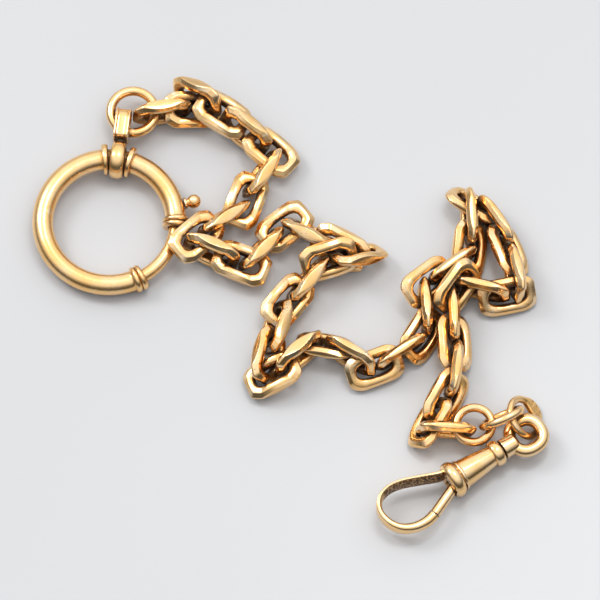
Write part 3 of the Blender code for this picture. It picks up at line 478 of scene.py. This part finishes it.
# chosen points down the hook's middle line: along, across, half thickness, half height
HOOK = ((-0.3, 1.45, 0.55, 1.7), (-1.9, 1.75, 0.55, 1.9), (-4.5, 2.8, 0.52, 1.9),
        (-7.7, 4.0, 0.5, 1.85), (-10.1, 4.25, 0.52, 1.75), (-12.1, 3.5, 0.55, 1.6),
        (-13.2, 1.8, 0.6, 1.5), (-13.1, -0.5, 0.7, 1.4), (-11.9, -2.5, 0.8, 1.25),
        (-9.9, -3.6, 0.88, 1.1), (-7.7, -3.8, 0.92, 1.0), (-5.95, -3.42, 0.93, 0.93))


def spline(knots, per):
    """Smooth curve through every knot, with per rows from each to the next."""
    knots = np.array(knots)
    rows = []
    for i in range(len(knots) - 1):
        p0, p1 = knots[max(i - 1, 0)], knots[i]
        p2, p3 = knots[i + 1], knots[min(i + 2, len(knots) - 1)]
        for t in np.arange(per) / per:
            rows.append(0.5 * (2 * p1 + (p2 - p0) * t + (2 * p0 - 5 * p1 + 4 * p2 - p3) * t ** 2
                               + (3 * p1 - p0 - 3 * p2 + p3) * t ** 3))
    return np.array(rows + [knots[-1]])


def hook():
    """Broad strap by the barrel that turns into round wire at the gate's end."""
    rows = spline(HOOK, HOOK_STEPS)
    path = np.column_stack([rows[:, :2], np.zeros(len(rows))])
    b = angles(HOOK_SIDES)
    sections = []
    for _, _, thick, high in rows:
        flat = min(1.0, max(0.0, high / thick - 1.1))
        out = np.cos(b)
        out = np.where(out < 0, -np.abs(out) ** (1 - 0.55 * flat) * (1 - 0.15 * flat), out)
        rise = np.sign(np.sin(b)) * np.abs(np.sin(b)) ** (1 - 0.3 * flat)
        sections.append(np.stack([-thick * out, high * rise], -1)[::-1])
    return sweep(path, sections)


def clip_barrel():
    """Large collar, small ring, tapering barrel and small collar, bored for the eye's pin."""
    profile = [(-1.15, 0.9), (-1.15, 2.2), (-1.02, 2.5), (-0.9, 2.72)]
    profile += [(x, 3.13 - 0.42 * abs(x / 0.95) ** 2.3) for x in np.linspace(-0.8, 0.9, 13)]
    profile += [(1.05, 2.58), (1.12, 2.46), (1.18, 2.5), (1.24, 2.61), (1.4, 2.65), (1.56, 2.61),
                (1.63, 2.5), (BARREL_FROM, BARREL_R)]
    profile += [(BARREL_FROM + BARREL_LONG * t,
                 BARREL_R - BARREL_TAPER * t + 0.05 * math.sin(math.pi * t))
                for t in np.linspace(0.04, 1, 16)]
    profile += [(7.56, 1.72), (7.6, 1.88)]
    profile += [(SMALL_COLLAR - 0.07 + 0.83 * s, 1.9 + 0.3 * math.sqrt(1 - s * s))
                for s in np.linspace(-0.97, 0.97, 13)]
    profile += [(9.3, 1.84), (9.35, 1.7), (9.36, 0.8), (7.3, 0.78)]
    return lathe(profile, 96)


def swivel_cap():
    return lathe(rounded([(CAP_FROM, 0.4), (CAP_FROM, CAP_R), (CAP_TO, CAP_R),
                          (CAP_TO + 0.3, CAP_R * 0.78), (CAP_TO + 0.35, 0.3)], 0.12), 64)


def eye_loop(stations=120):
    path = even(oval(EYE_HALF, EYE_HALF, EYE_POWER), stations) + [EYE_AT, 0, 0]
    return sweep(path, [circle(EYE_WIRE, 32)] * stations, closed=True)


def gate():
    """Round rod from its pivot in the barrel to the hook's end."""
    return lathe(rounded([(-0.6, 0.3), (-0.6, GATE_R * 0.85), (-0.25, GATE_R),
                          (GATE_LONG - 0.05, GATE_R), (GATE_LONG, GATE_R - 0.08),
                          (GATE_LONG, 0.3)], 0.07), 40)


# ---- materials ----------------------------------------------------------------------------------
PER_MM = (1000.0,) * 3
CHANCE_REACH = 37.0                   # how far apart the pieces' patterns are shifted
CROWD_REACH, TIGHT_REACH = 0.0020, 0.0042    # metres within which other metal counts as close
PAINTED_SHADE_WARMTH = (0.82, 0.60, 0.22)           # painted shade: gold's colour is multiplied by this where other metal is near, darker and more orange as if shaded and lit by neighbouring gold
# Near-black colour that is partly crust and partly painted shade in the hollows between pieces; the
# pit colour is real pitting.
CRUST_AND_SHADE_COLOUR, PIT_COLOUR = (0.06, 0.020, 0.003, 1), (0.34, 0.13, 0.03, 1)
# Pale colour of edges, partly rubbed by wear and partly a painted highlight.
RUBBED_HIGHLIGHT_COLOUR = (1.0, 0.88, 0.68, 1)
BUMP_HEIGHT = 0.00003
SCRATCH_STRETCH = (0.35, 6.0, 1.2)
STEEL_DARK, STEEL_LIGHT = (0.32, 0.32, 0.34, 1), (0.55, 0.55, 0.57, 1)


class Tree:
    """Small helper that adds and wires shader nodes."""

    def __init__(self, name):
        self.material = bpy.data.materials.new(name)
        self.material.use_nodes = True
        self.nodes = self.material.node_tree.nodes
        self.links = self.material.node_tree.links
        self.shader = self.nodes["Principled BSDF"]

    def feed(self, socket, value):
        if isinstance(value, bpy.types.NodeSocket):
            self.links.new(value, socket)
        else:
            socket.default_value = value

    def add(self, kind, inputs=(), **fields):
        node = self.nodes.new(kind)
        for key, value in fields.items():
            setattr(node, key, value)
        for key, value in dict(inputs).items():
            self.feed(node.inputs[key], value)
        return node

    def math(self, operation, a, b):
        return self.add("ShaderNodeMath", {0: a, 1: b}, operation=operation).outputs[0]

    def vector(self, operation, a, b):
        return self.add("ShaderNodeVectorMath", {0: a, 1: b}, operation=operation).outputs[0]

    def ramp(self, fac, low, high, to_low=0.0, to_high=1.0):
        node = self.add("ShaderNodeMapRange", {0: fac, 1: low, 2: high, 3: to_low, 4: to_high},
                        clamp=True)
        return node.outputs[0]

    def mix(self, fac, a, b):
        return self.add("ShaderNodeMix", {0: fac, 6: a, 7: b}, data_type="RGBA").outputs[2]

    def noise(self, at, scale, detail, roughness=0.5):
        return self.add("ShaderNodeTexNoise", {"Vector": at, "Scale": scale, "Detail": detail,
                                               "Roughness": roughness}).outputs[0]

    def openness(self, reach):
        return self.add("ShaderNodeAmbientOcclusion", {"Distance": reach},
                        samples=12).outputs["AO"]


def own_place(t):
    """Place on the piece in millimetres, shifted by an amount that differs between pieces."""
    where = t.add("ShaderNodeTexCoord").outputs["Object"]
    chance = t.add("ShaderNodeObjectInfo").outputs["Random"]
    shift = t.math("MULTIPLY", chance, CHANCE_REACH)
    return t.vector("ADD", t.vector("MULTIPLY", where, PER_MM), shift)


def crust_and_painted_shade(t, crust, tarnish_and_shade, marked):
    """How much crust and painted shade the metal gets: near-black where other metal crowds it, and
    where its mesh is marked.
    """
    patchy = t.math("MULTIPLY", t.math("SUBTRACT", crust, 0.5), 0.9)
    # Painted shade and crust: darker the closer other metal is, broken into patches by noise.
    uneven = t.math("SUBTRACT", t.openness(CROWD_REACH), patchy)
    crust_and_shade = t.math("MULTIPLY", t.ramp(uneven, 0.64, 0.42), tarnish_and_shade)
    if marked:
        inside = t.add("ShaderNodeAttribute", attribute_name="tarnish_and_shade").outputs["Fac"]
        patch = t.math("MULTIPLY", inside, t.ramp(crust, 0.60, 0.47, 0.35, 1.0))
        crust_and_shade = t.math("MAXIMUM", crust_and_shade, patch)
    return crust_and_shade


def gold_bump(t, at, fine, pit, pits, scratch):
    """Hammered unevenness, fine grain, long scratches and pits."""
    lines = t.noise(t.vector("MULTIPLY", at, SCRATCH_STRETCH), 2.0, 3.0)
    height = t.math("MULTIPLY", fine, 0.6)
    height = t.math("ADD", height, t.math("MULTIPLY", t.noise(at, 11.0, 3.0), 0.08))
    height = t.math("ADD", height, t.math("MULTIPLY", lines, 0.10 * scratch))
    height = t.math("SUBTRACT", height, t.math("MULTIPLY", pit, 0.9 * pits))
    bump = t.add("ShaderNodeBump", {"Height": height, "Distance": BUMP_HEIGHT, "Strength": 0.75})
    return bump.outputs[0]


def gold(name, light, body, rough, tarnish_and_shade, pits=0.6, scratch=0.5, marked=False):
    """Worn gold: darker and more orange with painted shade, and crust, where pieces crowd together;
    brighter along its edges with wear and a painted highlight.
    """
    t = Tree(name)
    at = own_place(t)
    broad = t.noise(at, 0.32, 3.0, 0.55)
    fine = t.noise(at, 2.6, 4.0, 0.6)
    crust = t.noise(at, 2.6, 5.0, 0.72)
    crust_and_shade = crust_and_painted_shade(t, crust, tarnish_and_shade, marked)
    # Convex edges: paler from wear and from a painted highlight, and a little smoother.
    worn_edge_and_highlight = t.ramp(t.add("ShaderNodeNewGeometry").outputs["Pointiness"], 0.515, 0.58)
    cell = t.add("ShaderNodeTexVoronoi", {"Vector": at, "Scale": 2.2}, feature="F1").outputs[0]
    pit = t.math("MULTIPLY", t.ramp(cell, 0.30, 0.12), t.ramp(broad, 0.52, 0.62))

    # Painted shade: near other metal the colour turns darker and more orange, standing in for shade
    # and for gold reflected in gold.
    painted_shade_tint = tuple(c * k for c, k in zip(body, PAINTED_SHADE_WARMTH))
    colour = t.mix(t.ramp(broad, 0.35, 0.65), (*body, 1), (*light, 1))
    painted_shade_mask = t.math("MULTIPLY", t.ramp(t.openness(TIGHT_REACH), 0.86, 0.40), 0.9)
    colour = t.mix(painted_shade_mask, colour, (*painted_shade_tint, 1))
    colour = t.mix(t.math("MULTIPLY", pit, pits), colour, PIT_COLOUR)
    # Near-black crust and painted shade where other metal is close.
    colour = t.mix(crust_and_shade, colour, CRUST_AND_SHADE_COLOUR)
    # Painted highlight and wear: pale colour along convex edges.
    colour = t.mix(t.math("MULTIPLY", worn_edge_and_highlight, 0.45), colour, RUBBED_HIGHLIGHT_COLOUR)
    t.feed(t.shader.inputs["Base Color"], colour)
    t.feed(t.shader.inputs["Metallic"], t.ramp(crust_and_shade, 0.25, 0.9, 1.0, 0.35))

    dull = t.math("ADD", rough, t.math("MULTIPLY", t.math("SUBTRACT", fine, 0.5), 0.14))
    dull = t.math("ADD", dull, t.math("MULTIPLY", crust_and_shade, 0.4))
    dull = t.math("SUBTRACT", dull, t.math("MULTIPLY", worn_edge_and_highlight, 0.06))
    t.feed(t.shader.inputs["Roughness"], dull)
    t.feed(t.shader.inputs["Normal"], gold_bump(t, at, fine, pit, pits, scratch))
    return t.material


def steel(name):
    """Grey spring steel, a little uneven in colour and shine."""
    t = Tree(name)
    cloud = t.noise(t.add("ShaderNodeTexCoord").outputs["Object"], 2500.0, 3.0)
    t.feed(t.shader.inputs["Base Color"], t.mix(cloud, STEEL_DARK, STEEL_LIGHT))
    t.feed(t.shader.inputs["Metallic"], 1.0)
    t.feed(t.shader.inputs["Roughness"], t.ramp(cloud, 0.3, 0.7, 0.25, 0.42))
    return t.material


LIGHT, BODY = (0.99, 0.68, 0.37), (0.97, 0.585, 0.22)
LINK_GOLD = gold("link_gold", LIGHT, BODY, rough=0.17, tarnish_and_shade=1.0)
WIRE_GOLD = gold("wire_gold", LIGHT, BODY, rough=0.19, tarnish_and_shade=0.85, pits=0.3)
RING_GOLD = gold("bolt_ring_gold", (0.99, 0.67, 0.35), BODY, rough=0.22, tarnish_and_shade=0.9, pits=0.25,
                 scratch=0.8)
CLIP_GOLD = gold("clip_gold", (0.99, 0.71, 0.41), (0.97, 0.62, 0.27), rough=0.14, tarnish_and_shade=0.9,
                 pits=0.3, marked=True)
STEEL = steel("spring_steel")


# ---- building -----------------------------------------------------------------------------------
def keep_flats(mesh):
    """Shade wide faces flat and leave the turn of the light to the narrow ones between them."""
    total = np.zeros((len(mesh.vertices), 3))
    for face in mesh.polygons:
        total[list(face.vertices)] += np.array(face.normal) * face.area ** 1.5
    total /= np.maximum(np.linalg.norm(total, axis=1, keepdims=True), 1e-30)
    mesh.normals_split_custom_set_from_vertices(total.tolist())


def mesh_of(name, shape, material, spin=np.eye(3), shift=(0, 0, 0)):
    """Mesh of a shape, turned and then shifted within its piece's own frame."""
    points, faces = shape
    points = np.asarray(points, float) @ spin.T + shift
    mesh = bpy.data.meshes.new(name)
    mesh.from_pydata((points * MM).tolist(), [], faces)
    work = bmesh.new()
    work.from_mesh(mesh)
    bmesh.ops.recalc_face_normals(work, faces=work.faces)
    work.to_mesh(mesh)
    work.free()
    mesh.materials.append(material)
    mesh.shade_smooth()
    keep_flats(mesh)
    return mesh


def new_object(name, data):
    made = bpy.data.objects.new(name, data)
    bpy.context.scene.collection.objects.link(made)
    return made


def place(name, mesh, at, spin, body):
    """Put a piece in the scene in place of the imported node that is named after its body."""
    piece = new_object(name, mesh)
    piece.matrix_world = (Matrix.Translation(Vector(np.asarray(at) * MM))
                          @ Matrix(np.asarray(spin).tolist()).to_4x4())
    bpy.context.view_layer.update()
    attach(piece, body)
    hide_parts(body)


def build_links():
    kinds = [mesh_of(f"link_kind_{k}", link_shape(k + 3, *kind), LINK_GOLD)
             for k, kind in enumerate(CRISP_KINDS + WORN_KINDS)]
    crisp = len(CRISP_KINDS)
    for i, name in enumerate(sorted(name for name in NODES if name.startswith("link_"))):
        at, spin = hung_frame(name)
        kind = (i * 5 + i // 4) % crisp + (crisp if i + 1 >= WORN_FROM else 0)
        place(f"trace_{name}", kinds[kind], at, spin, name)


def build_wire_rings():
    for name, (half_long, half_wide, wire, seed, seam) in WIRE_RINGS.items():
        at, spin = hung_frame(name)
        mesh = mesh_of(name, wire_ring(half_long, half_wide, wire, seed, seam=seam), WIRE_GOLD,
                       shift=(half_long, 0, 0))
        place(f"round_{name}", mesh, at, spin, name)


def build_marked_ring():
    """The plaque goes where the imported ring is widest."""
    at, y = hinge_at("marked_ring"), unit(JOINTS["marked_ring"]["axis"])
    points = points_of("marked_ring")
    normal = np.linalg.svd(points - points.mean(0))[2][2]
    if normal[2] < 0:
        normal = -normal
    x = unit(np.cross(y, normal))
    rough_middle = (points.min(0) + points.max(0)) / 2
    if x.dot(rough_middle - at) < 0:
        x = -x
    flat = points - (at + x * MARK_RADIUS)
    reach = np.linalg.norm(flat - np.outer(flat @ normal, normal), axis=1)
    wide = flat[reach > reach.max() - 0.08].mean(0)
    side = np.cross(normal, x)
    plaque = math.degrees(math.atan2(wide @ side, wide @ x))
    mesh = mesh_of("marked_ring", marked_ring(plaque), WIRE_GOLD, shift=(MARK_RADIUS, 0, 0))
    place("marked_end_ring", mesh, at, np.column_stack([x, side, normal]), "marked_ring")


def build_bolt_ring():
    """Tube, bolt and knob share the ring's frame; bead and bail have frames at the bead."""
    ring_turn = np.array(Vector(UP).rotation_difference(Vector(JOINTS["bolt"]["axis"])).to_matrix())
    place("bolt_ring_tube", mesh_of("bolt_ring", ring_body(), RING_GOLD), RING_AT, ring_turn,
          "bolt_ring")
    place("bolt_rod", mesh_of("bolt", bolt_rod(), RING_GOLD), RING_AT, ring_turn, "bolt")
    outward = np.column_stack([arc_point(KNOB_AT, 1.0), arc_point(KNOB_AT + 90, 1.0), UP])
    place("bolt_knob", mesh_of("knob", knob(), RING_GOLD, outward, arc_point(KNOB_AT)), RING_AT,
          ring_turn, "bolt")

    out, round_ring = arc_point(BEAD_AT, 1.0), arc_point(BEAD_AT + 90, 1.0)
    bead_at = RING_AT + ring_turn @ arc_point(BEAD_AT)
    bead_turn = ring_turn @ np.column_stack([-round_ring, out, UP])
    place("swivel_barrel_bead", mesh_of("bead", bead(), RING_GOLD), bead_at, bead_turn,
          "swivel_bead")
    bail_turn = ring_turn @ np.column_stack([out, round_ring, UP])
    bail_at = bead_at + bail_turn[:, 0] * (BEAD_R + BAIL_GAP)
    place("reeded_bail", mesh_of("bail", bail(), RING_GOLD), bail_at, bail_turn, "bail")
    stub = lathe([(-BAIL_GAP - BAIL_STUB_DEEP, BAIL_STUB), (BAIL_GAP, BAIL_STUB)], 24)
    place("bail_stub", mesh_of("stub", stub, RING_GOLD), bail_at, bail_turn, "bail")
    NODES["bolt_spring"].data.materials.clear()
    NODES["bolt_spring"].data.materials.append(STEEL)


def slotted_barrel():
    """The barrel with the open slot that the gate's end sits in."""
    half = GATE_SLOT_WIDE / 2
    low, high = GATE_SLOT_ACROSS
    box = loft([[(x, low, -half), (x, low, half), (x, high, half), (x, high, -half)]
                for x in GATE_SLOT_ALONG])
    blank = new_object("barrel_blank", mesh_of("barrel", clip_barrel(), CLIP_GOLD))
    cutter = new_object("gate_slot", mesh_of("gate_slot", box, CLIP_GOLD))
    cut = blank.modifiers.new("slot", "BOOLEAN")
    cut.operation, cut.object, cut.solver = "DIFFERENCE", cutter, "EXACT"
    bpy.context.view_layer.update()
    mesh = bpy.data.meshes.new_from_object(
        blank.evaluated_get(bpy.context.evaluated_depsgraph_get()))
    for used in (cutter, blank):
        bpy.data.objects.remove(used, do_unlink=True)
    mesh.set_sharp_from_angle(angle=math.radians(50))
    return mesh


def hook_with_tarnish_and_shade():
    """The hook, with the inner face of its broad arm marked as tarnished and darkened with painted
    shade.
    """
    mesh = mesh_of("hook", hook(), CLIP_GOLD)
    marks = mesh.attributes.new("tarnish_and_shade", "FLOAT", "POINT")
    rows = spline(HOOK, HOOK_STEPS)
    for i, vertex in enumerate(mesh.vertices):
        px, py = rows[i // HOOK_SIDES][:2]
        inner = (vertex.co.x / MM - px) * 0.3 + (py - vertex.co.y / MM)
        arm = min(1.0, max(0.0, (px + 12.6) / 1.6)) if py > 0 else 0.0
        marks.data[i].value = arm * min(1.0, max(0.0, inner / 0.15))
    return mesh


def build_clip():
    at = hinge_at("clip_body")
    spin = turn(UP, math.radians(CLIP_HEADING))
    place("clip_barrel", slotted_barrel(), at, spin, "clip_body")
    place("clip_hook", hook_with_tarnish_and_shade(), at, spin, "clip_body")
    pin = lathe([(PIN_FROM, PIN_R), (CAP_FROM + 0.2, PIN_R)], 24)
    for name, shape in (("loop", eye_loop()), ("cap", swivel_cap()), ("pin", pin)):
        place(f"clip_eye_{name}", mesh_of(name, shape, CLIP_GOLD), at, spin, "swivel_eye")
    place("clip_gate_rod", mesh_of("gate", gate(), CLIP_GOLD), hinge_at("clip_gate"),
          spin @ turn(UP, math.radians(GATE_HEADING)), "clip_gate")


RING_AT = hinge_at("bolt")
build_links()
build_wire_rings()
build_marked_ring()
build_bolt_ring()
build_clip()


# ---- stage --------------------------------------------------------------------------------------
TABLE_HALF, TABLE_DROP = 1.2, 0.00002
TABLE_DARK, TABLE_LIGHT = (0.588, 0.594, 0.606, 1), (0.612, 0.618, 0.630, 1)
TENT_COLOUR = (0.985, 0.995, 1.0, 1)
TENT_LEAN = (0.0, 0.35, 0.94)         # the way the tent's brightest part lies
TENT_STEP = (-0.02, 0.94, 0.10, 1.30)    # lean from and to, strength from and to
PHOTO_SPOT = (31.5, -12.8)            # millimetres from the bolt ring's middle to the view's middle
MIDDLE = Vector(((RING_AT[0] + PHOTO_SPOT[0]) * MM, (RING_AT[1] + PHOTO_SPOT[1]) * MM, 0.0))
ELEVATION, DISTANCE, FRAME_WIDE, SENSOR = math.radians(68.0), 2.0, 0.099, 36.0


def floor():
    """Pale, faintly uneven table top, a hair under the chain."""
    corners = [(-TABLE_HALF, -TABLE_HALF, 0), (TABLE_HALF, -TABLE_HALF, 0),
               (TABLE_HALF, TABLE_HALF, 0), (-TABLE_HALF, TABLE_HALF, 0)]
    mesh = bpy.data.meshes.new("table")
    mesh.from_pydata(corners, [], [(0, 1, 2, 3)])
    t = Tree("table_top")
    cloud = t.ramp(t.noise(t.add("ShaderNodeTexCoord").outputs["Object"], 9.0, 2.0), 0.3, 0.7)
    t.feed(t.shader.inputs["Base Color"], t.mix(cloud, TABLE_DARK, TABLE_LIGHT))
    t.feed(t.shader.inputs["Roughness"], 0.22)
    t.feed(t.shader.inputs["Specular IOR Level"], 0.4)
    mesh.materials.append(t.material)
    table = new_object("table_top", mesh)
    table.location.z = CAD_BOX[0][2] - TABLE_DROP


def soft_box(name, away, size, power):
    """Rectangular light that faces the middle of the view."""
    light = bpy.data.lights.new(name, "AREA")
    light.shape, light.size, light.size_y = "RECTANGLE", *size
    light.energy = power
    lamp = new_object(name, light)
    lamp.location = MIDDLE + Vector(away)
    lamp.rotation_euler = (-Vector(away)).to_track_quat("-Z", "Y").to_euler()


def tent():
    """Soft tent: bright overhead and behind, darker low down on the camera's side."""
    world = bpy.data.worlds.new("studio")
    world.use_nodes = True
    nodes, links = world.node_tree.nodes, world.node_tree.links
    where = nodes.new("ShaderNodeTexCoord")
    lean = nodes.new("ShaderNodeVectorMath")
    lean.operation = "DOT_PRODUCT"
    lean.inputs[1].default_value = TENT_LEAN
    links.new(where.outputs["Generated"], lean.inputs[0])
    step = nodes.new("ShaderNodeMapRange")
    step.interpolation_type = "SMOOTHSTEP"
    for socket, value in zip(step.inputs[1:5], TENT_STEP):
        socket.default_value = value
    links.new(lean.outputs["Value"], step.inputs[0])
    background = nodes["Background"]
    background.inputs[0].default_value = TENT_COLOUR
    links.new(step.outputs[0], background.inputs[1])
    bpy.context.scene.world = world


def photo_camera():
    """Long lens from high in front, as the photograph was taken."""
    camera = new_object("camera", bpy.data.cameras.new("camera"))
    camera.data.sensor_width = SENSOR
    camera.data.lens = SENSOR * DISTANCE / FRAME_WIDE
    camera.data.clip_start, camera.data.clip_end = 0.01, 10.0
    camera.location = MIDDLE + DISTANCE * Vector((0, -math.cos(ELEVATION), math.sin(ELEVATION)))
    camera.rotation_euler = (math.radians(90) - ELEVATION, 0, 0)
    bpy.context.scene.camera = camera


floor()
soft_box("left_box", (-0.50, 0.30, 0.62), (0.26, 0.30), 2.0)
soft_box("top_box", (0.14, 0.20, 0.75), (0.24, 0.20), 0.75)
tent()
photo_camera()
bpy.context.scene.view_settings.view_transform = "Standard"

bpy.context.view_layer.update()
